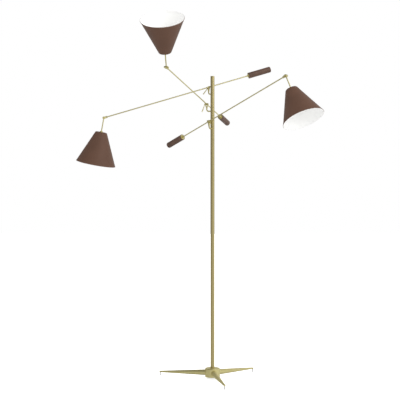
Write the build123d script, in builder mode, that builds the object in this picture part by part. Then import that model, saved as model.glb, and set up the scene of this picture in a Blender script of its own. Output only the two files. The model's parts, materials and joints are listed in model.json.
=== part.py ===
"""Tripod floor lamp with three counterbalanced arms, in millimetres.

The origin is on the floor under the pole's axis. +Z is up, +X is to the right of someone who
stands in front of the lamp, and +Y points away from them. A heavy hub on three tapered legs holds
the pole. Each arm pivots on a swivel that stands beside the pole on a bent tube. A lever locks its
tilt, a leather-covered weight balances it, and a fork at its other end carries the shade.
"""

import os
from collections import namedtuple
from math import cos, radians, sin, sqrt

from build123d import *

os.makedirs("parts", exist_ok=True)

# ------------------------------------------------------------------ fits and gaps
running = 0.05      # radial clearance of a shaft that turns in its hole
seated = 0.05       # radial clearance of a piece that is fixed in its hole
side_gap = 0.3      # between flat faces that slide past each other
end_gap = 0.4       # between the end of a shaft and the floor of its hole

# ------------------------------------------------------------------ pole
pole_d = 20.0
pole_wall = 1.5
pole_top = 1509.0
pole_seat = 26.0        # height of the ledge in the hub that the pole stands on
cap_rim = 3.0           # visible thickness of the cap
cap_plug = 8.0          # depth of the plug inside the pole
cap_round = 1.2

# ------------------------------------------------------------------ hub
hub_d = 74.5
hub_bottom = 9.5
hub_top = 54.0
hub_top_round = 5.0
hub_bottom_round = 2.0
ledge_t = 2.0           # thickness of the ledge under the pole
chamber_wall = 4.25     # between the wiring space inside the hub and the legs' sockets
plate_rim = 4.25        # width of the hub's rim round the cover plate
plate_t = 1.8
plate_screw_edge = 4.0  # from the plate's edge to the axis of each of its screws
plate_screw_d = 3.0
plate_screw_head_d = 5.6
plate_screw_head_t = 1.2
plate_screw_length = 5.0
plate_screw_offset = 30.0   # degrees from each leg
rear_azimuth = 101.1    # cord exit and set screw, opposite to the front leg
set_screw_d = 5.0
set_screw_length = 12.0
set_screw_height = 44.0
bush_d = 9.0            # rubber bush in the cord exit
bush_bore = 6.0
bush_flange_d = 12.5
bush_flange_t = 2.5
bush_height = 18.5

# ------------------------------------------------------------------ legs and feet
leg_azimuths = {"left": 161.1, "right": 41.1, "front": 281.1}
leg_root_d = 29.0
leg_tip_d = 8.0
leg_tip_radius = 284.0
leg_underside = 15.3    # the legs' undersides are level at this height
leg_socket_depth = 13.0
leg_tip_round = 1.5
leg_screw_d = 5.0
leg_screw_head_d = 9.0
leg_screw_head_t = 2.0
leg_screw_bite = 9.0    # length of the screw inside the leg
leg_screw_inset = 4.0   # from the end of the leg inside the hub to the screw's axis
leg_screw_key = 3.0     # hexagon socket, across flats
foot_pin_radius = 280.0
foot_pin_d = 5.0
foot_stud_d = 3.4
foot_stud_h = 4.0

# ------------------------------------------------------------------ bent tube beside the pole
post_radius = 31.0      # from the pole's axis to the swivel's axis
post_tube_d = 6.5
post_tube_bore = 3.5
post_bend = 11.0
post_drop = 36.0        # from the pivot down to where the tube enters the pole
post_tail = 4.0         # how far the tube reaches into the pole's bore
spigot_d = 5.0
spigot_bore = 2.6
spigot_h = 7.5

# ------------------------------------------------------------------ swivel and tilt joint
tilt_limit = 45.0       # steepest arm, either way from level
arm_d = 5.5
arm_bore = 3.5
socket_wall = 0.75      # wall of the sockets that hold the arm's two halves
socket_reach = 12.0     # from the tilt axis to the mouth of each socket
socket_floor = 5.5      # from the tilt axis to the floor of each socket
tilt_hub_d = 11.5
tilt_screw_d = 4.0
screw_head_d = 8.0
screw_head_t = 2.5
screw_slot = 1.2
yoke_width = 9.0
cheek_t = 2.2
cheek_d = 11.0
bridge_t = 2.5

# ------------------------------------------------------------------ clamping lever
lever_boss_d = 8.0
lever_boss_t = 6.0
lever_length = 43.0
lever_root_d = 3.2
lever_end_d = 5.2
lever_splay = 15.0      # degrees that the handle leans out from the joint

# ------------------------------------------------------------------ arm and counterweight
arm_reach = 552.0       # tilt axis to shade pivot
tail_reach = 336.0      # tilt axis to the end of the counterweight
weight_length = 120.0
weight_d = 24.6
sleeve_d = 29.5
sleeve_end_t = 3.0
sleeve_end_round = 3.5
nipple_d = 9.0
nipple_length = 9.0
tail_grip = 40.0        # length of the rod inside the weight

# ------------------------------------------------------------------ shade fork and neck
fork_d = 10.0
fork_length = 18.0      # shade pivot to the fork's open end
fork_bore_depth = 9.4
ear_t = 2.2
ear_d = 13.0
eye_t = 5.0
knuckle_screw_d = 4.0
knob_d = 8.0
knob_t = 6.5
neck_d = 5.5
neck_bore = 3.0
neck_root_d = 4.6
neck_root_length = 9.5
neck_length = 71.5      # shade pivot to the top face of the shade
neck_flange_d = 10.5
neck_flange_t = 2.5
thread_d = 9.5
thread_length = 7.0     # of the neck's threaded end, inside the lamp holder

# ------------------------------------------------------------------ shade, holder and bulb
shade_mouth_d = 195.0
shade_top_d = 56.0
shade_height = 158.0
shade_wall = 1.2
shade_top_round = 5.0
shade_bead = 1.3        # radius of the rolled edge at the mouth
ring_d = 17.0
ring_t = 3.5
holder_d = 29.0
holder_length = 40.0
holder_top_t = 9.0
bulb_cap_d = 14.0
bulb_cap_length = 22.0
bulb_neck_d = 22.0
bulb_d = 45.0
bulb_glass_length = 52.5

# Each arm: where its post stands round the pole and how far below the pole's top its pivot is, the
# way it points and how steeply, how far its fork is turned about the arm, how far the shade is bent
# down from the arm's line, and how far the lever hangs below level.
Arm = namedtuple("Arm", "name post_azimuth pivot_depth heading elevation fork_turn bend lever")
arms = [
    Arm("upper", 127.5, 49.5, 192.1, -17.2, 9.6, 63.9, 55.0),
    Arm("middle", 156.0, 136.0, 250.0, 11.9, 10.4, -46.5, 70.0),
    Arm("lower", 237.3, 224.5, 311.2, 18.4, -1.3, 81.4, 56.0),
]

# ------------------------------------------------------------------ sizes that follow from these
pole_bore = pole_d - 2 * pole_wall
hub_r = hub_d / 2
leg_socket_floor = hub_r - leg_socket_depth
leg_screw_radius = leg_socket_floor + leg_screw_inset
chamber_d = 2 * (leg_socket_floor - chamber_wall)
plate_d = hub_d - 2 * plate_rim
plate_screw_radius = plate_d / 2 - plate_screw_edge
leg_root_height = leg_underside + leg_root_d / 2
leg_tip_height = leg_underside + leg_tip_d / 2
chamber_top = pole_seat - ledge_t
plate_top = hub_bottom + plate_t
boss_d = arm_d + 2 * socket_wall
tilt_hub_t = boss_d + side_gap
fork_gap = tilt_hub_t + 2 * side_gap
yoke_outside = fork_gap / 2 + cheek_t
steep = radians(tilt_limit)
yoke_floor = (boss_d / 2 + yoke_width / 2 * sin(steep)) / cos(steep) + 2 * side_gap
bridge_bottom = yoke_floor + bridge_t
post_top = bridge_bottom + spigot_h     # depth of the post's shoulder below the pivot
lever_boss_mid = yoke_outside + side_gap + lever_boss_t / 2
weight_front = tail_reach - weight_length
ear_gap = eye_t + 2 * side_gap
ear_outside = ear_gap / 2 + ear_t
eye_d = ear_d - 2 * side_gap
fork_floor = ear_d / 2 + side_gap
up = Vector(0, 0, 1)


def compass(azimuth, elevation=0.0):
    """Unit vector at this angle from +X, raised by this angle from level."""
    turn = radians(azimuth)
    rise = radians(elevation)
    return Vector(cos(rise) * cos(turn), cos(rise) * sin(turn), sin(rise))


def radial_plane(azimuth, radius, height):
    """Plane that faces away from the pole's axis, with its local Y upwards."""
    outward = compass(azimuth)
    return Plane(origin=outward * radius + up * height, x_dir=up.cross(outward), z_dir=outward)


class ArmFrame:
    """The points, directions and planes that one arm is built on."""

    def __init__(self, arm):
        self.name = arm.name
        self.lever = arm.lever
        self.post_azimuth = arm.post_azimuth
        self.height = pole_top - arm.pivot_depth
        self.forward = compass(arm.heading)
        self.right = self.forward.cross(up)
        self.along = compass(arm.heading, arm.elevation)
        self.rise = self.right.cross(self.along)
        self.pivot = compass(arm.post_azimuth) * post_radius + up * self.height
        self.knuckle = self.pivot + self.along * arm_reach
        turn = radians(arm.fork_turn)
        bend = radians(arm.bend)
        self.fold = self.right * sin(turn) - self.rise * cos(turn)
        self.pin = self.along.cross(self.fold)
        self.drop = self.along * cos(bend) + self.fold * sin(bend)

    def level(self, depth):
        """Level plane, this far below the pivot, with X along the arm's heading."""
        return Plane(origin=self.pivot - up * depth, x_dir=self.forward, z_dir=up)

    def beside(self, distance):
        """Upright plane that faces along the tilt axis, with Y upwards."""
        return Plane(origin=self.pivot + self.right * distance, x_dir=self.forward, z_dir=self.right)

    def beside_arm(self, distance):
        """The same, turned so that X runs along the arm."""
        return Plane(origin=self.pivot + self.right * distance, x_dir=self.along, z_dir=self.right)

    def across_arm(self, distance, backwards=False):
        """Plane across the arm, this far from the tilt axis."""
        facing = -self.along if backwards else self.along
        return Plane(origin=self.pivot + facing * distance, x_dir=self.right, z_dir=facing)

    def across_fork(self, distance):
        """Plane across the arm, this far back from the shade pivot, facing the pivot."""
        return Plane(origin=self.knuckle - self.along * distance, x_dir=self.pin, z_dir=self.along)

    def beside_fork(self, distance):
        """Plane that faces along the shade pivot, with X along the arm."""
        return Plane(origin=self.knuckle + self.pin * distance, x_dir=self.along, z_dir=self.pin)

    def across_neck(self, distance):
        """Plane across the neck, this far from the shade pivot."""
        return Plane(origin=self.knuckle + self.drop * distance, x_dir=self.pin, z_dir=self.drop)

    def beside_neck(self):
        """Plane through the neck's axis: X is the radius and Y the distance from the pivot."""
        return Plane(origin=self.knuckle, x_dir=self.drop.cross(self.pin), z_dir=self.pin)

    def neck_axis(self):
        """The line through the middle of the neck, the holder, the bulb and the shade."""
        return Axis(self.knuckle, self.drop)


def rim_nearest(piece, point):
    """The piece's round edge whose centre is nearest to this point."""
    return piece.edges().filter_by(GeomType.CIRCLE).sort_by_distance(point)[0]


def save(piece, label):
    """Label a finished piece and write it as parts/LABEL.step."""
    piece.part.label = label
    export_step(piece.part, f"parts/{label}.step")


# ------------------------------------------------------------------ base and pole
def make_hub():
    with BuildPart() as hub:
        with BuildSketch(Plane.XY.offset(hub_bottom)):
            Circle(hub_r)
        extrude(amount=hub_top - hub_bottom)
        rims = hub.edges().filter_by(GeomType.CIRCLE).sort_by(Axis.Z)
        fillet(rims[-1], hub_top_round)
        fillet(rims[0], hub_bottom_round)
        with BuildSketch(Plane.XY.offset(hub_bottom)):
            Circle(plate_d / 2 + seated)
        extrude(amount=plate_t, mode=Mode.SUBTRACT)
        with BuildSketch(Plane.XY.offset(plate_top)):
            Circle(chamber_d / 2)
        extrude(amount=chamber_top - plate_top, mode=Mode.SUBTRACT)
        with BuildSketch(Plane.XY.offset(chamber_top)):
            Circle(pole_bore / 2)
        extrude(amount=ledge_t, mode=Mode.SUBTRACT)
        with BuildSketch(Plane.XY.offset(pole_seat)):
            Circle(pole_d / 2 + seated)
        extrude(amount=hub_top - pole_seat, mode=Mode.SUBTRACT)
        for azimuth in leg_azimuths.values():
            with BuildSketch(radial_plane(azimuth, leg_socket_floor, leg_root_height)):
                Circle(leg_root_d / 2 + seated)
            extrude(amount=leg_socket_depth + 1, mode=Mode.SUBTRACT)
        with BuildSketch(Plane.XY.offset(plate_top)):
            with Locations(*leg_screw_points()):
                Circle(leg_screw_head_d / 2 + 2 * seated)
        extrude(amount=leg_screw_head_t + side_gap, mode=Mode.SUBTRACT)
        with BuildSketch(Plane.XY.offset(plate_top)):
            with Locations(*leg_screw_points()):
                Circle(leg_screw_d / 2 + seated)
            with Locations(*plate_screw_points()):
                Circle(plate_screw_d / 2 + seated)
        extrude(amount=leg_underside - plate_top + end_gap, mode=Mode.SUBTRACT)
        with BuildSketch(Plane.XY.offset(plate_top)):
            with Locations(*plate_screw_points()):
                Circle(plate_screw_d / 2 + seated)
        extrude(amount=plate_screw_length - plate_t + end_gap, mode=Mode.SUBTRACT)
        with BuildSketch(radial_plane(rear_azimuth, 0, set_screw_height)):
            Circle(set_screw_d / 2 + seated)
        extrude(amount=hub_r, mode=Mode.SUBTRACT)
        with BuildSketch(radial_plane(rear_azimuth, 0, bush_height)):
            Circle(bush_d / 2 + seated)
        extrude(amount=hub_r, mode=Mode.SUBTRACT)
        with BuildSketch(radial_plane(rear_azimuth, bush_seat_radius(), bush_height)):
            Circle(bush_flange_d / 2 + seated)
        extrude(amount=bush_flange_t + 1, mode=Mode.SUBTRACT)
    save(hub, "hub")


def leg_screw_points():
    """Under the end of each leg inside the hub."""
    return [compass(azimuth) * leg_screw_radius for azimuth in leg_azimuths.values()]


def plate_screw_points():
    """Beside each leg, clear of the cord's exit."""
    azimuths = [azimuth + plate_screw_offset for azimuth in leg_azimuths.values()]
    return [compass(azimuth) * plate_screw_radius for azimuth in azimuths]


def bush_seat_radius():
    """How far out the flat for the bush's flange is cut: just inside the hub's round side."""
    return sqrt(hub_r**2 - (bush_flange_d / 2) ** 2) - 1.0


def make_hub_plate():
    with BuildPart() as plate:
        with BuildSketch(Plane.XY.offset(hub_bottom)):
            Circle(plate_d / 2)
            with Locations(*plate_screw_points()):
                Circle(plate_screw_d / 2 + seated, mode=Mode.SUBTRACT)
        extrude(amount=plate_t)
    save(plate, "hub_plate")


def make_plate_screws():
    with BuildPart() as screws:
        with BuildSketch(Plane.XY.offset(hub_bottom - plate_screw_head_t)):
            with Locations(*plate_screw_points()):
                Circle(plate_screw_head_d / 2)
        extrude(amount=plate_screw_head_t)
        with BuildSketch(Plane.XY.offset(hub_bottom)):
            with Locations(*plate_screw_points()):
                Circle(plate_screw_d / 2)
        extrude(amount=plate_screw_length)
    save(screws, "plate_screws")


def make_leg_screws():
    head_bottom = plate_top + side_gap
    shank_bottom = head_bottom + leg_screw_head_t
    with BuildPart() as screws:
        with BuildSketch(Plane.XY.offset(head_bottom)):
            with Locations(*leg_screw_points()):
                Circle(leg_screw_head_d / 2)
                RegularPolygon(leg_screw_key / 2, 6, major_radius=False, mode=Mode.SUBTRACT)
        extrude(amount=leg_screw_head_t)
        with BuildSketch(Plane.XY.offset(shank_bottom)):
            with Locations(*leg_screw_points()):
                Circle(leg_screw_d / 2)
        extrude(amount=leg_underside + leg_screw_bite - shank_bottom)
    save(screws, "leg_screws")


def make_leg(name, azimuth):
    cone_start = hub_r + end_gap
    with BuildPart() as leg:
        with BuildSketch(radial_plane(azimuth, leg_socket_floor, leg_root_height)):
            Circle(leg_root_d / 2)
        extrude(amount=cone_start - leg_socket_floor)
        with BuildSketch(radial_plane(azimuth, cone_start, leg_root_height)):
            Circle(leg_root_d / 2)
        with BuildSketch(radial_plane(azimuth, leg_tip_radius, leg_tip_height)):
            Circle(leg_tip_d / 2)
        loft()
        fillet(rim_nearest(leg, compass(azimuth) * 2 * leg_tip_radius), leg_tip_round)
        with BuildSketch(Plane.XY.offset(leg_underside - 1)):
            with Locations(compass(azimuth) * leg_screw_radius):
                Circle(leg_screw_d / 2 + seated)
        extrude(amount=leg_screw_bite + end_gap + 1, mode=Mode.SUBTRACT)
        with BuildSketch(Plane.XY.offset(leg_underside - 1)):
            with Locations(compass(azimuth) * foot_pin_radius):
                Circle(foot_stud_d / 2 + seated)
        extrude(amount=foot_stud_h + end_gap + 1, mode=Mode.SUBTRACT)
    save(leg, f"leg_{name}")


def make_foot_pins():
    points = [compass(azimuth) * foot_pin_radius for azimuth in leg_azimuths.values()]
    with BuildPart() as pins:
        with BuildSketch(Plane.XY):
            with Locations(*points):
                Circle(foot_pin_d / 2)
        extrude(amount=leg_underside)
        with BuildSketch(Plane.XY.offset(leg_underside)):
            with Locations(*points):
                Circle(foot_stud_d / 2)
        extrude(amount=foot_stud_h)
    save(pins, "foot_pins")


def make_set_screw():
    with BuildPart() as screw:
        with BuildSketch(radial_plane(rear_azimuth, pole_d / 2, set_screw_height)):
            Circle(set_screw_d / 2)
        extrude(amount=set_screw_length)
        with BuildSketch(radial_plane(rear_azimuth, pole_d / 2 + set_screw_length, set_screw_height)):
            RegularPolygon(set_screw_d / 4, 6, major_radius=False)
        extrude(amount=-set_screw_length / 4, mode=Mode.SUBTRACT)
    save(screw, "pole_set_screw")


def make_cord_bush():
    seat = bush_seat_radius()
    with BuildPart() as bush:
        with BuildSketch(radial_plane(rear_azimuth, chamber_d / 2, bush_height)):
            Circle(bush_d / 2)
        extrude(amount=seat - chamber_d / 2)
        with BuildSketch(radial_plane(rear_azimuth, seat, bush_height)):
            Circle(bush_flange_d / 2)
        extrude(amount=bush_flange_t)
        fillet(rim_nearest(bush, compass(rear_azimuth) * 2 * hub_d), bush_flange_t / 3)
        with BuildSketch(radial_plane(rear_azimuth, chamber_d / 2, bush_height)):
            Circle(bush_bore / 2)
        extrude(amount=seat + bush_flange_t - chamber_d / 2, mode=Mode.SUBTRACT)
    save(bush, "cord_bush")


def make_pole():
    with BuildPart() as pole:
        with BuildSketch(Plane.XY.offset(pole_seat)):
            Circle(pole_d / 2)
            Circle(pole_bore / 2, mode=Mode.SUBTRACT)
        extrude(amount=pole_top - pole_seat)
        for arm in arms:
            with BuildSketch(radial_plane(arm.post_azimuth, 0, ArmFrame(arm).height - post_drop)):
                Circle(post_tube_d / 2 + seated)
            extrude(amount=pole_d, mode=Mode.SUBTRACT)
    save(pole, "pole")


def make_pole_cap():
    with BuildPart() as cap:
        with BuildSketch(Plane.XY.offset(pole_top)):
            Circle(pole_d / 2)
        extrude(amount=cap_rim)
        fillet(cap.edges().filter_by(GeomType.CIRCLE).sort_by(Axis.Z)[-1], cap_round)
        with BuildSketch(Plane.XY.offset(pole_top)):
            Circle(pole_bore / 2 - seated)
        extrude(amount=-cap_plug)
    save(cap, "pole_cap")


# ------------------------------------------------------------------ one arm's pieces
def make_post(frame):
    """Tube that leaves the pole level, bends up and ends in the spigot that the yoke turns on."""
    entry = frame.height - post_drop
    outward = compass(frame.post_azimuth)
    upright = Plane(origin=up * entry, x_dir=outward, z_dir=outward.cross(up))
    start = pole_bore / 2 - post_tail
    with BuildPart() as post:
        with BuildLine(upright):
            FilletPolyline(
                (start, 0), (post_radius, 0), (post_radius, post_drop - post_top), radius=post_bend
            )
        with BuildSketch(radial_plane(frame.post_azimuth, start, entry)):
            Circle(post_tube_d / 2)
            Circle(post_tube_bore / 2, mode=Mode.SUBTRACT)
        sweep()
        with BuildSketch(frame.level(post_top)):
            Circle(spigot_d / 2)
            Circle(spigot_bore / 2, mode=Mode.SUBTRACT)
        extrude(amount=spigot_h - end_gap)
    save(post, f"post_{frame.name}")


def make_yoke(frame):
    """Swivel that turns on the post's spigot and holds the tilt joint between two cheeks."""
    barrel_d = yoke_width
    with BuildPart() as yoke:
        with BuildSketch(frame.level(post_top - side_gap)):
            Circle(barrel_d / 2)
        extrude(amount=post_top - side_gap - bridge_bottom)
        with BuildSketch(frame.level(bridge_bottom)):
            RectangleRounded(yoke_width, 2 * yoke_outside, cheek_t)
        extrude(amount=bridge_t)
        for inner in (fork_gap / 2, -yoke_outside):
            with BuildSketch(frame.beside(inner)):
                Circle(cheek_d / 2)
                with Locations((0, -yoke_floor / 2)):
                    Rectangle(yoke_width, yoke_floor)
                Circle(tilt_screw_d / 2 + seated, mode=Mode.SUBTRACT)
            extrude(amount=cheek_t)
        with BuildSketch(frame.level(post_top - side_gap)):
            Circle(spigot_d / 2 + running)
        extrude(amount=spigot_h - side_gap, mode=Mode.SUBTRACT)
        with BuildSketch(frame.level(bridge_bottom)):
            Circle(spigot_bore / 2)
        extrude(amount=bridge_t, mode=Mode.SUBTRACT)
    save(yoke, f"yoke_{frame.name}")


def make_tilt_screw(frame):
    """Screw through both cheeks and the tilt hub, which the lever's boss clamps."""
    end = lever_boss_mid + lever_boss_t / 2 - side_gap
    with BuildPart() as screw:
        with BuildSketch(frame.beside(-yoke_outside)):
            Circle(tilt_screw_d / 2)
        extrude(amount=yoke_outside + end)
        with BuildSketch(frame.beside(-yoke_outside)):
            Circle(screw_head_d / 2)
        extrude(amount=-screw_head_t)
        with BuildSketch(frame.beside(-yoke_outside - screw_head_t)):
            Rectangle(screw_head_d, screw_slot)
        extrude(amount=screw_head_t / 2, mode=Mode.SUBTRACT)
    save(screw, f"tilt_screw_{frame.name}")


def make_tilt_hub(frame):
    """Disc on the tilt axis with a socket each way for the arm tube and the tail rod."""
    with BuildPart() as tilt_hub:
        with BuildSketch(frame.beside_arm(-tilt_hub_t / 2)):
            Circle(tilt_hub_d / 2)
        extrude(amount=tilt_hub_t)
        with BuildSketch(frame.across_arm(-socket_reach)):
            Circle(boss_d / 2)
        extrude(amount=2 * socket_reach)
        for backwards in (False, True):
            with BuildSketch(frame.across_arm(socket_floor, backwards)):
                Circle(arm_d / 2 + seated)
            extrude(amount=socket_reach - socket_floor, mode=Mode.SUBTRACT)
        with BuildSketch(frame.beside_arm(-tilt_hub_t / 2)):
            Circle(tilt_screw_d / 2 + running)
        extrude(amount=tilt_hub_t, mode=Mode.SUBTRACT)
    save(tilt_hub, f"tilt_hub_{frame.name}")


def make_clamp_lever(frame):
    """Boss on the tilt screw with a handle that gets thicker towards its end."""
    hang = radians(frame.lever)
    splay = radians(lever_splay)
    in_plane = frame.forward * cos(hang) - up * sin(hang)
    handle = in_plane * cos(splay) + frame.right * sin(splay)
    middle = frame.pivot + frame.right * lever_boss_mid
    root = lever_boss_d / 4
    with BuildPart() as lever:
        with BuildSketch(frame.beside(lever_boss_mid - lever_boss_t / 2)):
            Circle(lever_boss_d / 2)
        extrude(amount=lever_boss_t)
        with BuildSketch(Plane(origin=middle + handle * root, z_dir=handle)):
            Circle(lever_root_d / 2)
        with BuildSketch(Plane(origin=middle + handle * lever_length, z_dir=handle)):
            Circle(lever_end_d / 2)
        loft()
        fillet(rim_nearest(lever, middle + handle * 2 * lever_length), lever_end_d / 3)
        with BuildSketch(frame.beside(lever_boss_mid - lever_boss_t / 2)):
            Circle(tilt_screw_d / 2 + running)
        extrude(amount=lever_boss_t, mode=Mode.SUBTRACT)
    save(lever, f"clamp_lever_{frame.name}")


def make_arm_tube(frame):
    """Tube from the tilt hub to the shade fork, whose end is the fork's shaft."""
    with BuildPart() as tube:
        with BuildSketch(frame.across_arm(socket_floor)):
            Circle(arm_d / 2)
            Circle(arm_bore / 2, mode=Mode.SUBTRACT)
        extrude(amount=arm_reach - fork_length + fork_bore_depth - end_gap - socket_floor)
    save(tube, f"arm_tube_{frame.name}")


def make_tail_rod(frame):
    """Rod from the tilt hub into the counterweight."""
    with BuildPart() as rod:
        with BuildSketch(frame.across_arm(socket_floor, True)):
            Circle(arm_d / 2)
        extrude(amount=weight_front + tail_grip - socket_floor)
    save(rod, f"tail_rod_{frame.name}")


def make_counterweight(frame):
    """Turned weight whose front face and nipple show, and whose body the sleeve covers."""
    with BuildPart() as weight:
        with BuildSketch(frame.across_arm(weight_front, True)):
            Circle(weight_d / 2)
        extrude(amount=weight_length - sleeve_end_t)
        with BuildSketch(frame.across_arm(weight_front - nipple_length, True)):
            Circle(nipple_d / 2)
        extrude(amount=nipple_length)
        chamfer(rim_nearest(weight, frame.pivot), nipple_d / 8)
        with BuildSketch(frame.across_arm(weight_front - nipple_length, True)):
            Circle(arm_d / 2 + seated)
        extrude(amount=nipple_length + tail_grip + end_gap, mode=Mode.SUBTRACT)
    save(weight, f"counterweight_{frame.name}")


def make_weight_sleeve(frame):
    """Leather cover: a closed cup, open towards the pole."""
    with BuildPart() as sleeve:
        with BuildSketch(frame.across_arm(weight_front, True)):
            Circle(sleeve_d / 2)
        extrude(amount=weight_length)
        far = frame.pivot - frame.along * 2 * tail_reach
        fillet(rim_nearest(sleeve, far), sleeve_end_round)
        with BuildSketch(frame.across_arm(weight_front, True)):
            Circle(weight_d / 2 + seated)
        extrude(amount=weight_length - sleeve_end_t, mode=Mode.SUBTRACT)
    save(sleeve, f"weight_sleeve_{frame.name}")


def make_arm_fork(frame):
    """Barrel that turns on the end of the arm tube, with two ears for the shade's eye."""
    with BuildPart() as fork:
        with BuildSketch(frame.across_fork(fork_length)):
            Circle(fork_d / 2)
        extrude(amount=fork_length - fork_floor)
        for inner in (ear_gap / 2, -ear_outside):
            with BuildSketch(frame.beside_fork(inner)):
                Circle(ear_d / 2)
                with Locations((-fork_floor / 2 - bridge_t / 2, 0)):
                    Rectangle(fork_floor + bridge_t, fork_d)
                Circle(knuckle_screw_d / 2 + seated, mode=Mode.SUBTRACT)
            extrude(amount=ear_t)
        with BuildSketch(frame.across_fork(fork_length)):
            Circle(arm_d / 2 + running)
        extrude(amount=fork_bore_depth, mode=Mode.SUBTRACT)
        with BuildSketch(frame.across_fork(fork_length)):
            Circle(spigot_bore / 2)
        extrude(amount=fork_length - fork_floor, mode=Mode.SUBTRACT)
    save(fork, f"arm_fork_{frame.name}")


def make_knuckle_screw(frame):
    """Screw with a round knob through the fork's ears, and the knob nut on its other end."""
    with BuildPart() as screw:
        with BuildSketch(frame.beside_fork(-ear_outside)):
            Circle(knuckle_screw_d / 2)
        extrude(amount=2 * ear_outside + knob_t / 2)
        with BuildSketch(frame.beside_fork(-ear_outside)):
            Circle(knob_d / 2)
        extrude(amount=-knob_t)
        outer = frame.knuckle - frame.pin * (ear_outside + 2 * knob_t)
        fillet(rim_nearest(screw, outer), knob_d / 8)
    with BuildPart() as nut:
        with BuildSketch(frame.beside_fork(ear_outside)):
            Circle(knob_d / 2)
        extrude(amount=knob_t)
        outer = frame.knuckle + frame.pin * (ear_outside + 2 * knob_t)
        fillet(rim_nearest(nut, outer), knob_d / 8)
        with BuildSketch(frame.beside_fork(ear_outside)):
            Circle(knuckle_screw_d / 2 + seated)
        extrude(amount=knob_t / 2 + end_gap, mode=Mode.SUBTRACT)
    label = f"knuckle_screw_{frame.name}"
    pair = Compound(label=label, children=[screw.part, nut.part])
    export_step(pair, f"parts/{label}.step")


def make_shade_neck(frame):
    """Eye between the fork's ears, the neck tube and the threaded end inside the holder."""
    flange_start = neck_length - ring_t - neck_flange_t
    with BuildPart() as neck:
        with BuildSketch(frame.beside_fork(-eye_t / 2)):
            Circle(eye_d / 2)
        extrude(amount=eye_t)
        with BuildSketch(frame.across_neck(0)):
            Circle(neck_root_d / 2)
        extrude(amount=neck_root_length)
        with BuildSketch(frame.across_neck(neck_root_length)):
            Circle(neck_d / 2)
        extrude(amount=flange_start - neck_root_length)
        with BuildSketch(frame.across_neck(flange_start)):
            Circle(neck_flange_d / 2)
        extrude(amount=neck_flange_t)
        with BuildSketch(frame.across_neck(flange_start + neck_flange_t)):
            Circle(thread_d / 2)
        extrude(amount=ring_t + shade_wall + thread_length)
        with BuildSketch(frame.across_neck(eye_d / 2)):
            Circle(neck_bore / 2)
        extrude(amount=neck_length, mode=Mode.SUBTRACT)
        with BuildSketch(frame.beside_fork(-eye_t / 2)):
            Circle(knuckle_screw_d / 2 + running)
        extrude(amount=eye_t, mode=Mode.SUBTRACT)
    save(neck, f"shade_neck_{frame.name}")


def make_shade_ring(frame):
    """Round nut that clamps the shade against the lamp holder."""
    with BuildPart() as ring:
        with BuildSketch(frame.across_neck(neck_length - ring_t)):
            Circle(ring_d / 2)
        extrude(amount=ring_t)
        chamfer(rim_nearest(ring, frame.knuckle), ring_t / 5)
        with BuildSketch(frame.across_neck(neck_length - ring_t)):
            Circle(thread_d / 2 + seated)
        extrude(amount=ring_t, mode=Mode.SUBTRACT)
    save(ring, f"shade_ring_{frame.name}")


def make_shade(frame):
    """Spun cone with a closed top, a rounded shoulder and a rolled edge at its mouth."""
    top_r = shade_top_d / 2
    mouth_r = shade_mouth_d / 2
    mouth = neck_length + shade_height
    slant = sqrt((mouth_r - top_r) ** 2 + shade_height**2)
    side_wall = shade_wall * slant / shade_height     # the wall measured across, not square to it
    floor_r = top_r + (mouth_r - top_r) * shade_wall / shade_height - side_wall
    with BuildPart() as shade:
        with BuildSketch(frame.beside_neck()):
            with BuildLine():
                outside = Polyline((0, neck_length), (top_r, neck_length), (mouth_r, mouth))
                inside = Polyline(
                    (mouth_r - side_wall, mouth), (floor_r, neck_length + shade_wall),
                    (0, neck_length + shade_wall),
                )
                Line(outside @ 1, inside @ 0)
                Line(inside @ 1, outside @ 0)
            profile = make_face()
            shoulder = profile.vertices().sort_by_distance(outside.vertices()[1].center())
            fillet(shoulder[0], shade_top_round)
            crease = profile.vertices().sort_by_distance(inside.vertices()[1].center())
            fillet(crease[0], shade_top_round - shade_wall)
            with Locations((mouth_r - shade_bead, mouth - shade_bead)):
                Circle(shade_bead)
        revolve(axis=frame.neck_axis())
        with BuildSketch(frame.across_neck(neck_length)):
            Circle(thread_d / 2 + 2 * seated)
        extrude(amount=shade_wall, mode=Mode.SUBTRACT)
    save(shade, f"shade_{frame.name}")


def make_lamp_holder(frame):
    """Holder screwed on the neck's threaded end, with the bulb's socket in its open end."""
    start = neck_length + shade_wall
    with BuildPart() as holder:
        with BuildSketch(frame.across_neck(start)):
            Circle(holder_d / 2)
        extrude(amount=holder_length)
        far = frame.knuckle + frame.drop * 2 * (start + holder_length)
        fillet(rim_nearest(holder, far), holder_d / 20)
        with BuildSketch(frame.across_neck(start)):
            Circle(thread_d / 2 + seated)
        extrude(amount=holder_top_t, mode=Mode.SUBTRACT)
        with BuildSketch(frame.across_neck(start + holder_top_t)):
            Circle(bulb_cap_d / 2 + side_gap)
        extrude(amount=holder_length, mode=Mode.SUBTRACT)
    save(holder, f"lamp_holder_{frame.name}")


def make_bulb(frame):
    """Round bulb: a screw cap in the holder, a short throat and a globe."""
    glass = neck_length + shade_wall + holder_length
    cap = glass - bulb_cap_length
    globe_r = bulb_d / 2
    globe = glass + bulb_glass_length - globe_r
    throat = globe - sqrt(globe_r**2 - (bulb_neck_d / 2) ** 2)
    with BuildPart() as bulb:
        with BuildSketch(frame.beside_neck()):
            with BuildLine():
                Polyline(
                    (0, cap), (bulb_cap_d / 2, cap), (bulb_cap_d / 2, glass), (bulb_neck_d / 2, throat)
                )
                ThreePointArc((bulb_neck_d / 2, throat), (globe_r, globe), (0, globe + globe_r))
                Line((0, globe + globe_r), (0, cap))
            make_face()
        revolve(axis=frame.neck_axis())
    save(bulb, f"bulb_{frame.name}")


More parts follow.
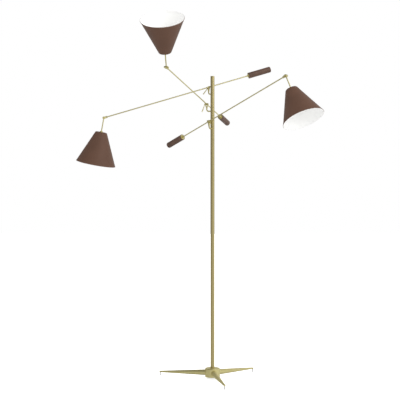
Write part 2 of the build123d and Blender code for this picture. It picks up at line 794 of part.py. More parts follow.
arm_makers = (
    make_post, make_yoke, make_tilt_screw, make_tilt_hub, make_clamp_lever, make_arm_tube,
    make_tail_rod, make_counterweight, make_weight_sleeve, make_arm_fork, make_knuckle_screw,
    make_shade_neck, make_shade_ring, make_shade, make_lamp_holder, make_bulb,
)

make_hub()
make_hub_plate()
make_plate_screws()
make_leg_screws()
for leg_name, leg_azimuth in leg_azimuths.items():
    make_leg(leg_name, leg_azimuth)
make_foot_pins()
make_set_screw()
make_cord_bush()
make_pole()
make_pole_cap()
for each in arms:
    places = ArmFrame(each)
    for make in arm_makers:
        make(places)
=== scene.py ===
"""Looks of the tripod floor lamp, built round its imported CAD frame, in metres.

The brass, steel and rubber pieces are the frame's own and only get their finishes here. The spun
shades, leather sleeves, bulbs, lamp holders, knurled knobs and cover-plate screws are made here.
"""

import json
import math

import bmesh
import bpy
from bpy.props import FloatProperty, FloatVectorProperty, IntProperty, PointerProperty
from bpy.types import Operator, Panel, PropertyGroup
from mathutils import Matrix, Vector


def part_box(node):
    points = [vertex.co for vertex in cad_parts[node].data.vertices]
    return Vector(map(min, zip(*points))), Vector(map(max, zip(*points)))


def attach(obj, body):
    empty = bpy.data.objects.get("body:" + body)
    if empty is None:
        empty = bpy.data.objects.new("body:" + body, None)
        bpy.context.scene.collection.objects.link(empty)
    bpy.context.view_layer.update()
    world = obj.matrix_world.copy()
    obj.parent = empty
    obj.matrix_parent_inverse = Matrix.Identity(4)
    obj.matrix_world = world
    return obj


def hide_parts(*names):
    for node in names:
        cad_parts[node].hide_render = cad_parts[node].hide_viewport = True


bl_info = {
    "name": "Tripod floor lamp",
    "version": (1, 0, 0),
    "blender": (4, 5, 0),
    "location": "3D View > Sidebar > Floor lamp",
    "description": "Finishes and fine pieces of a floor lamp with three counterbalanced arms",
    "category": "Add Mesh",
}

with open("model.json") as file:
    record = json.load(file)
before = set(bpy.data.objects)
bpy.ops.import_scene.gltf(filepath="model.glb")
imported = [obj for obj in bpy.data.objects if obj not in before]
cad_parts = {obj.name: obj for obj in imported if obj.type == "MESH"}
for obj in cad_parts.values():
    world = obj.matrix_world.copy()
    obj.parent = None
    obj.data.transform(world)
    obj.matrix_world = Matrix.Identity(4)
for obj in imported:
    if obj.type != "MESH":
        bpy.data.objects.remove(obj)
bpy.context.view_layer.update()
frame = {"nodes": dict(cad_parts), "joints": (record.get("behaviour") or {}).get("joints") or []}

ARMS = ("upper", "middle", "lower")
UP = Vector((0, 0, 1))
CREASE = 32     # degrees between two faces past which their edge is sharp


# ------------------------------------------------------------------ places, from the frame
def joint(name):
    """Point and direction of one of the frame's joints."""
    found = next(each for each in frame["joints"] if each["name"] == name)
    return Vector(found["pos_m"]), Vector(found["axis"]).normalized()


def place(origin, axis, across=None):
    """Matrix whose local Z is the axis, and whose local X is as near to across as it can be."""
    side = across or axis.orthogonal()
    side = (side - axis * side.dot(axis)).normalized()
    turn = Matrix((side, axis.cross(side), axis)).transposed()
    return Matrix.Translation(origin) @ turn.to_4x4()


def middle(node):
    """Centre of a CAD node's box."""
    low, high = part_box(node)
    return (low + high) / 2


def extent(node, where):
    """Lowest and highest local Z of a CAD node in a place, and its largest radius round local Z."""
    local = [where.inverted() @ vertex.co for vertex in frame["nodes"][node].data.vertices]
    heights = [point.z for point in local]
    return min(heights), max(heights), max(point.xy.length for point in local)


def pivot_place(arm):
    """Place of the tilt screw: origin on the arm's line, local Z along the screw."""
    pivot, screw = joint(f"tilt_{arm}")
    return place(pivot, screw)


def arm_place(arm):
    """Place of the arm's tubes: origin at the pivot, local Z towards the shade."""
    pivot, _ = joint(f"tilt_{arm}")
    _, along = joint(f"fork_turn_{arm}")
    return place(pivot, along, UP)


def tail_place(arm):
    """Place of the weight: origin at the pivot, local Z towards the weight, local X upwards."""
    pivot, _ = joint(f"tilt_{arm}")
    _, along = joint(f"fork_turn_{arm}")
    return place(pivot, -along, UP)


def knuckle_place(arm):
    """Place of the cross screw at the shade: local Z along the screw."""
    knuckle, pin = joint(f"shade_tilt_{arm}")
    return place(knuckle, pin)


def shade_place(arm):
    """Place of the shade: origin at its knuckle, local Z down its axis towards the mouth."""
    knuckle, pin = joint(f"shade_tilt_{arm}")
    return place(knuckle, (middle(f"shade_ring_{arm}") - knuckle).normalized(), pin)


# ------------------------------------------------------------------ node networks
class Wire:
    """An output inside a node tree. Arithmetic on it adds Math nodes."""

    def __init__(self, network, socket):
        self.network = network
        self.socket = socket

    def math(self, operation, *values, clamp=False):
        settings = {"operation": operation, "use_clamp": clamp}
        return self.network.add("ShaderNodeMath", settings, dict(enumerate(values)))

    def __add__(self, other):
        return self.math("ADD", self, other)

    def __radd__(self, other):
        return self.math("ADD", other, self)

    def __sub__(self, other):
        return self.math("SUBTRACT", self, other)

    def __rsub__(self, other):
        return self.math("SUBTRACT", other, self)

    def __mul__(self, other):
        return self.math("MULTIPLY", self, other)

    def __rmul__(self, other):
        return self.math("MULTIPLY", other, self)

    def __pow__(self, other):
        return self.math("POWER", self, other)

    def __neg__(self):
        return self.math("MULTIPLY", self, -1)

    def between(self, low, high):
        """0 below low, 1 above high and even in between."""
        return self.math("MULTIPLY", self - low, 1 / (high - low), clamp=True)


class Network:
    """Adds nodes to a shader or geometry tree."""

    def __init__(self, tree):
        self.tree = tree

    def add(self, kind, settings=None, sockets=None, out=0):
        """Adds a node, sets it up, fills or links its sockets and returns one of its outputs."""
        node = self.tree.nodes.new(kind)
        for setting, value in (settings or {}).items():
            setattr(node, setting, value)
        for key, value in (sockets or {}).items():
            socket = self.find(node.inputs, key)
            if isinstance(value, Wire):
                self.tree.links.new(value.socket, socket)
            else:
                socket.default_value = value
        return Wire(self, self.find(node.outputs, out)) if len(node.outputs) else node

    @staticmethod
    def find(sockets, key):
        """A socket by its place, its identifier or its name."""
        if isinstance(key, int):
            return sockets[key]
        same = [socket for socket in sockets if key in (socket.identifier, socket.name)]
        return next((socket for socket in same if socket.enabled), same[0])

    def combine(self, x, y, z):
        return self.add("ShaderNodeCombineXYZ", None, {0: x, 1: y, 2: z})

    def noise(self, vector, scale, detail=2.0, roughness=0.5):
        """Cloudy value between 0 and 1."""
        sockets = {"Vector": vector, "Scale": scale, "Detail": detail, "Roughness": roughness}
        return self.add("ShaderNodeTexNoise", None, sockets, "Fac")

    def blend(self, first, second, share):
        """Colour between two colours."""
        sockets = {"Factor_Float": share, "A_Color": first, "B_Color": second}
        return self.add("ShaderNodeMix", {"data_type": "RGBA"}, sockets, "Result_Color")


class Finish(Network):
    """A material on the way to its one shader."""

    def __init__(self, name):
        self.material = bpy.data.materials.new(name)
        self.material.use_nodes = True
        super().__init__(self.material.node_tree)
        self.tree.nodes.clear()
        self.point = self.add("ShaderNodeTexCoord", None, None, "Object")

    def local(self, where):
        """X, Y and Z in a place, and the distance from its local Z."""
        sockets = {"Location": where.translation, "Rotation": where.to_euler()}
        sockets["Vector"] = self.point
        turned = self.add("ShaderNodeMapping", {"vector_type": "TEXTURE"}, sockets)
        parts = self.add("ShaderNodeSeparateXYZ", None, {0: turned}).socket.node.outputs
        x, y, z = (Wire(self, part) for part in parts)
        return x, y, z, (x * x + y * y) ** 0.5

    def bump(self, height, depth):
        """Normal of a surface whose relief is that deep, in metres."""
        sockets = {"Height": height, "Distance": depth, "Strength": 1.0}
        return self.add("ShaderNodeBump", None, sockets)

    def surface(self, **sockets):
        """Ends the material in one Principled shader and returns it."""
        named = {key.replace("_", " ").title(): value for key, value in sockets.items()}
        named = {key.replace("Ior", "IOR"): value for key, value in named.items()}
        shader = self.add("ShaderNodeBsdfPrincipled", None, named)
        self.add("ShaderNodeOutputMaterial", None, {"Surface": shader})
        return self.material


# ------------------------------------------------------------------ finishes
def tinted(colour, factor, lift=0.0):
    """A colour made darker or lighter, solid."""
    return (*(min(1.0, channel * factor + lift) for channel in colour[:3]), 1.0)


def metal(name, where, grain, bright, aged, roughness, tarnish=0.5):
    """Satin metal, drawn along local Z or turned round it, with a cloudy tarnish."""
    finish = Finish(name)
    x, y, z, radius = finish.local(where)
    if grain == "drawn":
        lines = finish.noise(finish.combine(x, y, z * 0.01), 2600, 3.0)
    else:
        lines = finish.noise(finish.combine(radius, z, 0.0), 3400, 3.0)
    clouds = finish.noise(finish.point, 38, 4.0, 0.6).between(0.36, 0.72)
    specks = finish.noise(finish.point, 900, 1.0).between(0.62, 0.8)
    worn = (0.4 + 0.6 * clouds + 0.25 * specks) * tarnish
    return finish.surface(
        base_color=finish.blend(bright, aged, worn.between(0.0, 1.0)),
        metallic=1.0,
        roughness=roughness + lines * 0.12 + clouds * 0.1,
        normal=finish.bump(lines, 0.00001),
    )


def shade_outside(name, where, mouth, colour):
    """Fine-textured paint, slightly rubbed where the rolled edge gets touched."""
    finish = Finish(name)
    _, _, z, _ = finish.local(where)
    grit = finish.noise(finish.point, 1500, 2.0)
    cloud = finish.noise(finish.point, 14, 3.0)
    rubbed = z.between(mouth - 0.0035, mouth) * finish.noise(finish.point, 160, 3.0)
    paint = finish.blend(tinted(colour, 0.86), tinted(colour, 1), cloud.between(0.3, 0.7))
    return finish.surface(
        base_color=finish.blend(paint, tinted(colour, 1.6, 0.02), rubbed * 0.5),
        roughness=0.5 + grit * 0.14,
        specular_ior_level=0.3,
        normal=finish.bump(grit, 0.00005),
    )


def shade_inside(name, where, top, mouth, colour):
    """White enamel, very slightly yellowed by heat near the bulb."""
    finish = Finish(name)
    _, _, z, _ = finish.local(where)
    peel = finish.noise(finish.point, 420, 2.0)
    heat = 1 - z.between(top, top + (mouth - top) * 0.6)
    warmed = (colour[0] * 0.98, colour[1] * 0.95, colour[2] * 0.88, 1.0)
    return finish.surface(
        base_color=finish.blend(tinted(colour, 1), warmed, heat * (0.5 + 0.5 * peel)),
        roughness=0.3 + peel * 0.12,
        normal=finish.bump(peel, 0.00003),
    )


def leather(name, where, colour, dark):
    """Smooth hide with fine pores, darker where hands have polished it."""
    finish = Finish(name)
    _, _, z, _ = finish.local(where)
    sockets = {"Vector": finish.point, "Scale": 900.0, "Randomness": 1.0}
    cells = finish.add("ShaderNodeTexVoronoi", {"feature": "F1"}, sockets, "Distance")
    creases = finish.noise(finish.combine(z * 0.4, finish.noise(finish.point, 90), z), 120, 4.0)
    handled = finish.noise(finish.point, 26, 3.0).between(0.35, 0.68)
    pores = cells.between(0.05, 0.6)
    return finish.surface(
        base_color=finish.blend(tinted(dark, 1), tinted(colour, 1), pores * 0.45 + handled * 0.55),
        roughness=0.62 - handled * 0.16 - pores * 0.06,
        specular_ior_level=0.45,
        normal=finish.bump(pores * 0.7 + creases * 0.3, 0.00016),
    )


def waxed_thread(name, where, colour):
    """Twisted linen thread."""
    finish = Finish(name)
    x, y, z, _ = finish.local(where)
    twist = finish.noise(finish.combine(x + z, y - z, z), 1800, 2.0)
    return finish.surface(
        base_color=finish.blend(tinted(colour, 1), tinted(colour, 1.5), twist),
        roughness=0.7 - twist * 0.15,
        normal=finish.bump(twist, 0.0001),
    )


def moulded(name, colour, scale, roughness):
    """Moulded plastic or rubber with a fine matt skin."""
    finish = Finish(name)
    skin = finish.noise(finish.point, scale, 3.0)
    shadow = tinted(colour, 0.82)
    return finish.surface(
        base_color=finish.blend(shadow, tinted(colour, 1), skin.between(0.2, 0.6)),
        roughness=roughness + skin * 0.15,
        normal=finish.bump(skin, 0.00004),
    )


def opal_glass(name, colour):
    """White glass with a soft, slightly uneven bloom."""
    finish = Finish(name)
    bloom = finish.noise(finish.point, 60, 2.0)
    return finish.surface(
        base_color=finish.blend(tinted(colour, 0.95), tinted(colour, 1), bloom),
        roughness=0.12 + bloom * 0.06,
        subsurface_weight=0.2,
        normal=finish.bump(bloom, 0.00002),
    )


# ------------------------------------------------------------------ shapes
def arc(centre, radius, start, stop, steps):
    """Points of an arc in a profile, from one angle to another, in degrees."""
    turns = [math.radians(start + (stop - start) * step / steps) for step in range(steps + 1)]
    return [(centre[0] + radius * math.cos(a), centre[1] + radius * math.sin(a)) for a in turns]


def rounded(before, corner, after, radius, steps=6):
    """Points that round off a profile's corner."""
    before, corner, after = (Vector(point) for point in (before, corner, after))
    one, two = (before - corner).normalized(), (after - corner).normalized()
    half = one.angle(two) / 2
    centre = corner + (one + two).normalized() * radius / math.sin(half)
    start = corner + one * radius / math.tan(half) - centre
    sweep = start.angle_signed(corner + two * radius / math.tan(half) - centre)
    turns = (Matrix.Rotation(-sweep * step / steps, 2) for step in range(steps + 1))
    return [tuple(centre + turn @ start) for turn in turns]


def between(start, stop, steps):
    """Points between two points of a profile, without the two."""
    start, stop = Vector(start), Vector(stop)
    return [tuple(start.lerp(stop, step / steps)) for step in range(1, steps)]


def lathe(name, profile, where, segments=96, looped=False):
    """Mesh turned round local Z from (radius, height, material index) points.

    A profile that isn't looped starts and ends on the axis.
    """
    points, faces, indices, rings = [], [], [], []
    for radius, height, _ in profile:
        count = segments if radius > 1e-7 else 1
        rings.append(range(len(points), len(points) + count))
        for step in range(count):
            turn = 2 * math.pi * step / segments
            x, y = radius * math.cos(turn), radius * math.sin(turn)
            points.append(where @ Vector((x, y, height)))
    pairs = list(zip(range(len(rings)), range(1, len(rings))))
    if looped:
        pairs.append((len(rings) - 1, 0))
    for first, second in pairs:
        a, b = rings[first], rings[second]
        for step in range(segments):
            after = (step + 1) % segments
            corners = [a[step % len(a)], b[step % len(b)], b[after % len(b)], a[after % len(a)]]
            faces.append(list(dict.fromkeys(corners)))
            indices.append(profile[first][2])
    mesh = bpy.data.meshes.new(name)
    mesh.from_pydata(points, [], faces)
    mesh.polygons.foreach_set("material_index", indices)
    return face_outwards(mesh)


def smoothed(mesh, crease):
    """Smooths all but a mesh's sharp edges."""
    mesh.polygons.foreach_set("use_smooth", [True] * len(mesh.polygons))
    mesh.set_sharp_from_angle(angle=math.radians(crease))
    return mesh


def face_outwards(mesh, crease=CREASE):
    """Turns a closed mesh's faces outwards, and smooths all but its sharp edges."""
    shape = bmesh.new()
    shape.from_mesh(mesh)
    bmesh.ops.recalc_face_normals(shape, faces=shape.faces)
    shape.to_mesh(mesh)
    shape.free()
    return smoothed(mesh, crease)


def add_piece(name, mesh, materials):
    """Object for a mesh, with its materials, in the scene."""
    for material in materials:
        mesh.materials.append(material)
    piece = bpy.data.objects.new(name, mesh)
    bpy.context.scene.collection.objects.link(piece)
    return piece


def of_profile(points, material=0):
    """Profile points, all of one material."""
    return [(radius, height, material) for radius, height in points]


# ------------------------------------------------------------------ geometry node trees
def new_tree(name, inputs):
    """Geometry tree with a geometry input, the named inputs and a geometry output."""
    tree = bpy.data.node_groups.new(name, "GeometryNodeTree")
    tree.interface.new_socket("Geometry", in_out="INPUT", socket_type="NodeSocketGeometry")
    for label, kind in inputs.items():
        tree.interface.new_socket(label, in_out="INPUT", socket_type=f"NodeSocket{kind}")
    tree.interface.new_socket("Geometry", in_out="OUTPUT", socket_type="NodeSocketGeometry")
    network = Network(tree)
    group = tree.nodes.new("NodeGroupInput")
    wires = {socket.name: Wire(network, socket) for socket in group.outputs if socket.name}
    return network, wires


def finish_tree(network, geometry, material):
    """Ends a tree in real geometry with its material."""
    real = network.add("GeometryNodeRealizeInstances", None, {"Geometry": geometry})
    painted = {"Geometry": real, "Material": material}
    done = network.add("GeometryNodeSetMaterial", None, painted)
    network.add("NodeGroupOutput", None, {"Geometry": done})
    return network.tree


def knurl_tree():
    """Rows of upright ribs standing in rings round local Z."""
    network, given = new_tree(
        "Ribs in rings",
        {
            "Ribs": "Int",
            "Rows": "Int",
            "Ring Radius": "Float",
            "Rib Width": "Float",
            "Rib Length": "Float",
            "First Row": "Float",
            "Row Spacing": "Float",
            "Material": "Material",
        },
    )
    ring_sockets = {"Vertices": given["Ribs"], "Radius": given["Ring Radius"]}
    ring = network.add("GeometryNodeMeshCircle", None, ring_sockets)
    row_sockets = {
        "Count": given["Rows"],
        "Start Location": network.combine(0.0, 0.0, given["First Row"]),
        "Offset": network.combine(0.0, 0.0, given["Row Spacing"]),
    }
    rows = network.add("GeometryNodeMeshLine", {"mode": "OFFSET"}, row_sockets)
    rings = network.add("GeometryNodeInstanceOnPoints", None, {"Points": rows, "Instance": ring})
    points = network.add("GeometryNodeRealizeInstances", None, {"Geometry": rings})
    rib_sockets = {
        "Vertices": 6,
        "Radius": given["Rib Width"] * 0.5,
        "Depth": given["Rib Length"],
    }
    rib = network.add("GeometryNodeMeshCylinder", None, rib_sockets, "Mesh")
    outwards = network.add(
        "ShaderNodeVectorMath",
        {"operation": "MULTIPLY"},
        {0: network.add("GeometryNodeInputPosition"), 1: (1.0, 1.0, 0.0)},
    )
    facing = network.add(
        "FunctionNodeAlignRotationToVector", {"axis": "X"}, {"Vector": outwards}
    )
    ribs = network.add(
        "GeometryNodeInstanceOnPoints",
        None,
        {"Points": points, "Instance": rib, "Rotation": facing},
    )
    return finish_tree(network, ribs, given["Material"])


def stitch_tree():
    """Rounded stitches end to end along a line of edges."""
    network, given = new_tree(
        "Stitches along a seam",
        {
            "Spacing": "Float",
            "Stitch Length": "Float",
            "Thread": "Float",
            "Material": "Material",
        },
    )
    seam = network.add("GeometryNodeMeshToCurve", None, {"Mesh": given["Geometry"]})
    spaced = network.add(
        "GeometryNodeResampleCurve",
        {"mode": "LENGTH"},
        {"Curve": seam, "Length": given["Spacing"]},
    )
    bead = network.add(
        "GeometryNodeMeshUVSphere", None, {"Segments": 8, "Rings": 5, "Radius": 0.5}, "Mesh"
    )
    size = network.combine(given["Thread"], given["Thread"], given["Stitch Length"])
    along = network.add(
        "FunctionNodeAlignRotationToVector",
        {"axis": "Z"},
        {"Vector": network.add("GeometryNodeInputTangent")},
    )
    stitches = network.add(
        "GeometryNodeInstanceOnPoints",
        None,
        {"Points": spaced, "Instance": bead, "Rotation": along, "Scale": size},
    )
    return finish_tree(network, stitches, given["Material"])


def ring_tree():
    """Copies of a shape, spaced evenly in a ring round local Z."""
    network, given = new_tree(
        "Copies in a ring",
        {"Copies": "Int", "Ring Radius": "Float", "First Angle": "Float", "Material": "Material"},
    )
    sockets = {"Vertices": given["Copies"], "Radius": given["Ring Radius"]}
    ring = network.add("GeometryNodeMeshCircle", None, sockets)
    turn = network.combine(0.0, 0.0, given["First Angle"])
    turned = network.add("GeometryNodeTransform", None, {"Geometry": ring, "Rotation": turn})
    copies = network.add(
        "GeometryNodeInstanceOnPoints",
        None,
        {"Points": turned, "Instance": given["Geometry"]},
    )
    return finish_tree(network, copies, given["Material"])


def grown(name, source, tree, values, where):
    """Plain mesh that a tree makes from a source mesh, moved to its place."""
    holder = bpy.data.objects.new(name, source)
    bpy.context.scene.collection.objects.link(holder)
    modifier = holder.modifiers.new("Pattern", "NODES")
    modifier.node_group = tree
    for item in tree.interface.items_tree:
        if item.in_out == "INPUT" and item.name in values:
            modifier[item.identifier] = values[item.name]
    ready = holder.evaluated_get(bpy.context.evaluated_depsgraph_get())
    mesh = bpy.data.meshes.new_from_object(ready)
    bpy.data.objects.remove(holder)
    mesh.transform(where)
    mesh.materials.clear()
    return mesh


def joined(name, meshes):
    """One mesh of several, all of one material."""
    points, faces = [], []
    for mesh in meshes:
        start = len(points)
        points.extend(vertex.co.copy() for vertex in mesh.vertices)
        for polygon in mesh.polygons:
            faces.append([start + corner for corner in polygon.vertices])
    whole = bpy.data.meshes.new(name)
    whole.from_pydata(points, [], faces)
    return smoothed(whole, CREASE)


# ------------------------------------------------------------------ what a user can change
def colour_property(name, description, default):
    """A colour that a user can change."""
    limits = {"subtype": "COLOR", "size": 4, "min": 0.0, "max": 1.0}
    solid = (*default, 1.0)
    return FloatVectorProperty(name=name, description=description, default=solid, **limits)


def length_property(name, description, default):
    """A length that a user can change, in metres."""
    return FloatProperty(name=name, description=description, unit="LENGTH", default=default)


def factor_property(name, description, default):
    """A part of one that a user can change."""
    limits = {"subtype": "FACTOR", "min": 0.0, "max": 1.0}
    return FloatProperty(name=name, description=description, default=default, **limits)


def number_property(name, description, default):
    """A number of ribs that a user can change."""
    return IntProperty(name=name, description=description, min=8, max=80, default=default)


class MetalSettings(PropertyGroup):
    brass: colour_property("Brass", "Colour of the clean brass", (0.80, 0.73, 0.36))
    aged_brass: colour_property(
        "Aged brass", "Colour of the brass where it has tarnished", (0.50, 0.42, 0.20)
    )
    steel: colour_property("Steel", "Colour of the screws and foot pins", (0.56, 0.55, 0.52))
    polished: factor_property("Polished", "Roughness of the drawn tubes and turned fittings", 0.22)
    satin: factor_property("Satin", "Roughness of the hub and the legs", 0.40)
    pole_tarnish: FloatProperty(
        name="Pole tarnish", description="How tarnished the pole is", min=0.0, default=2.4
    )
    fittings_tarnish: FloatProperty(
        name="Fittings tarnish", description="How tarnished all else is", min=0.0, default=0.4
    )


class ShadeSettings(PropertyGroup):
    outside: colour_property("Outside", "Colour of the paint outside", (0.120, 0.058, 0.035))
    inside: colour_property("Inside", "Colour of the enamel inside", (0.96, 0.96, 0.95))
    top: length_property("Top", "Diameter of the closed end", 0.056)
    wall: length_property("Wall", "Thickness of the metal", 0.0012)
    shoulder: length_property("Shoulder", "Radius of the rounded shoulder", 0.005)
    bead: length_property("Rolled edge", "Radius of the rolled edge", 0.0013)
    hole: length_property("Hole", "Diameter of the hole for the neck", 0.0097)


class SleeveSettings(PropertyGroup):
    hide: colour_property("Leather", "Colour of the leather", (0.125, 0.062, 0.038))
    pores: colour_property("Pores", "Colour in the pores of the leather", (0.065, 0.034, 0.022))
    thread: colour_property("Thread", "Colour of the stitching", (0.10, 0.055, 0.035))
    thickness: length_property("Leather", "Thickness of the leather", 0.0024)
    end_round: length_property("End", "Radius of the closed end's edge", 0.0035)
    groove: length_property("Seam", "Depth of the groove at the seam", 0.0005)
    stitch: length_property("Stitch", "Length of one stitch", 0.0026)
    spacing: length_property("Spacing", "From one stitch to the next", 0.0036)
    thread_width: length_property("Thread", "Thickness of the thread", 0.0006)


class FittingSettings(PropertyGroup):
    knurls: number_property("Knurls", "Ribs round one knob", 34)
    knurl_depth: length_property("Knurl depth", "How far the ribs stand out", 0.0003)
    holder_ribs: number_property("Holder ribs", "Ribs round a lamp holder", 30)
    holder_rib_depth: length_property("Holder rib depth", "How far the ribs stand out", 0.0007)
    holder_round: length_property("Holder edge", "Radius of a holder's rounded edges", 0.0015)
    holder_floor: length_property("Holder floor", "Thickness of a holder's closed end", 0.009)
    socket: length_property("Socket", "Radius of the hole for the bulb's cap", 0.0075)
    plastic: colour_property("Holder", "Colour of the lamp holders", (0.78, 0.76, 0.70))
    opal: colour_property("Bulb", "Colour of the opal glass", (0.90, 0.89, 0.86))
    rubber: colour_property("Bush", "Colour of the rubber bush", (0.02, 0.02, 0.02))


class StageSettings(PropertyGroup):
    eye: FloatVectorProperty(
        name="Camera",
        description="Where the camera stands",
        subtype="TRANSLATION",
        unit="LENGTH",
        size=3,
        default=(-0.0625, -4.7, 0.893),
    )
    lens: FloatProperty(name="Lens", description="Focal length", unit="CAMERA", default=84.6)
    floor: colour_property("Floor", "Colour of the floor", (0.92, 0.92, 0.92))
    floor_glow: FloatProperty(
        name="Floor glow", description="How much the floor is lit from below", min=0.0, default=0.6
    )
    floor_size: length_property("Floor size", "Side of the floor", 40.0)
    daylight: FloatProperty(
        name="Daylight", description="Strength of the light all round", min=0.0, default=1.1
    )
    dark_side: FloatProperty(
        name="Dark side", description="Light that metal mirrors from the left", default=0.28
    )
    ground: FloatProperty(
        name="Ground", description="Light that metal mirrors from the floor", default=0.8
    )
    key: FloatProperty(
        name="Key light", description="Power of the large light", unit="POWER", default=35.0
    )
    key_size: length_property("Key size", "Side of the large light", 2.5)
    key_place: FloatVectorProperty(
        name="Key place",
        description="Where the large light hangs",
        subtype="TRANSLATION",
        unit="LENGTH",
        size=3,
        default=(2.2, -2.4, 3.0),
    )


# ------------------------------------------------------------------ operators
class LAMP_OT_base(Operator):
    """Finish the pole, the hub, the legs and their screws"""

    bl_idname = "lamp.base"
    bl_label = "Pole, hub and legs"

    def execute(self, context):
        metals = context.scene.lamp_metals
        upright = place(middle("pole"), UP)
        for node, grain in (("pole", "drawn"), ("pole_cap", "turned")):
            paint_brass(node, upright, grain, metals.polished, metals.pole_tarnish)
        paint_brass("hub", upright, "turned", metals.satin)
        for side in ("left", "right", "front"):
            node = f"leg_{side}"
            centre = middle(node)
            outwards = Vector((centre.x, centre.y, 0)).normalized()
            paint_brass(node, place(centre, outwards), "drawn", metals.satin)
        for node in ("hub_plate", "leg_screws", "pole_set_screw", "foot_pins"):
            paint(node, steel(f"{node}_steel", upright))
        rubber = moulded("bush_rubber", context.scene.lamp_fittings.rubber, 800, 0.6)
        paint("cord_bush", rubber)
        return {"FINISHED"}


class LAMP_OT_plate_screws(Operator):
    """Make the domed, slotted screws that hold the cover plate"""

    bl_idname = "lamp.plate_screws"
    bl_label = "Cover plate screws"

    def execute(self, context):
        low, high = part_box("plate_screws")
        count = 3
        centres = screw_centres("plate_screws", count)
        reach = sum(point.xy.length for point in centres) / count
        screw = slotted_screw(high.z - low.z)
        where = place(Vector((0, 0, low.z)), UP, Vector((1, 0, 0)))
        material = steel("plate_screw_steel", where)
        values = {
            "Copies": count,
            "Ring Radius": reach,
            "First Angle": math.atan2(centres[0].y, centres[0].x),
            "Material": material,
        }
        mesh = face_outwards(grown("plate_screw", screw, ring_tree(), values, where))
        piece = add_piece("cover_plate_screws", mesh, [material])
        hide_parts("plate_screws")
        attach(piece, "root")
        return {"FINISHED"}


class LAMP_OT_arms(Operator):
    """Finish the posts, swivels, levers, tubes, weights, forks and necks"""

    bl_idname = "lamp.arms"
    bl_label = "Arms"

    def execute(self, context):
        metals = context.scene.lamp_metals
        for arm in ARMS:
            upright = place(middle(f"post_{arm}"), UP)
            screw, along, tail = pivot_place(arm), arm_place(arm), tail_place(arm)
            fork = place(*joint(f"fork_turn_{arm}"))
            shade = shade_place(arm)
            finishes = (
                ("post", upright, "drawn"),
                ("yoke", upright, "drawn"),
                ("tilt_hub", screw, "turned"),
                ("tilt_screw", screw, "turned"),
                ("clamp_lever", self.lever_place(arm), "drawn"),
                ("arm_tube", along, "drawn"),
                ("tail_rod", tail, "drawn"),
                ("counterweight", tail, "turned"),
                ("arm_fork", fork, "turned"),
                ("shade_neck", shade, "drawn"),
                ("shade_ring", shade, "turned"),
            )
            for piece, where, grain in finishes:
                paint_brass(f"{piece}_{arm}", where, grain, metals.polished)
        return {"FINISHED"}

    @staticmethod
    def lever_place(arm):
        """Place of a clamping lever, whose handle leads away from the screw."""
        pivot, _ = joint(f"lever_{arm}")
        node = f"clamp_lever_{arm}"
        return place(pivot, (middle(node) - pivot).normalized())


class LAMP_OT_shades(Operator):
    """Make the spun shades with their rolled edges"""

    bl_idname = "lamp.shades"
    bl_label = "Shades"

    def execute(self, context):
        settings = context.scene.lamp_shades
        for arm in ARMS:
            where = shade_place(arm)
            top, mouth, reach = extent(f"shade_{arm}", where)
            profile = self.profile(settings, top, mouth, reach)
            mesh = lathe(f"shade_{arm}", profile, where, 128, True)
            outside = shade_outside(f"paint_{arm}", where, mouth, settings.outside)
            inside = shade_inside(f"enamel_{arm}", where, top, mouth, settings.inside)
            piece = add_piece(f"spun_shade_{arm}", mesh, [outside, inside])
            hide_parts(f"shade_{arm}")
            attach(piece, f"head_{arm}")
        return {"FINISHED"}

    @staticmethod
    def profile(settings, top, mouth, reach):
        """Outline of the wall: over the top, down outside, round the edge and up inside."""
        outer, hole, wall = settings.top / 2, settings.hole / 2, settings.wall
        slope = (reach - outer) / (mouth - top)
        across = wall * math.sqrt(1 + slope * slope)
        bead = settings.bead
        edge = (reach - bead, mouth - bead)
        shoulder = rounded((hole, top), (outer, top), (reach, mouth), settings.shoulder, 8)
        down = between(shoulder[-1], (edge[0] + bead - slope * bead, edge[1]), 10)
        outside = [(hole, top), *shoulder, *down, *arc(edge, bead, 10, 90, 6)]
        ceiling = (hole, top + wall)
        corner = (outer + slope * wall - across, top + wall)
        rim = (reach - across, mouth)
        crease = rounded(rim, corner, ceiling, settings.shoulder - wall, 8)
        inside = [*arc(edge, bead, 90, 190, 8), *between(rim, crease[0], 10), *crease, ceiling]
        return of_profile(outside, 0) + of_profile(inside, 1)


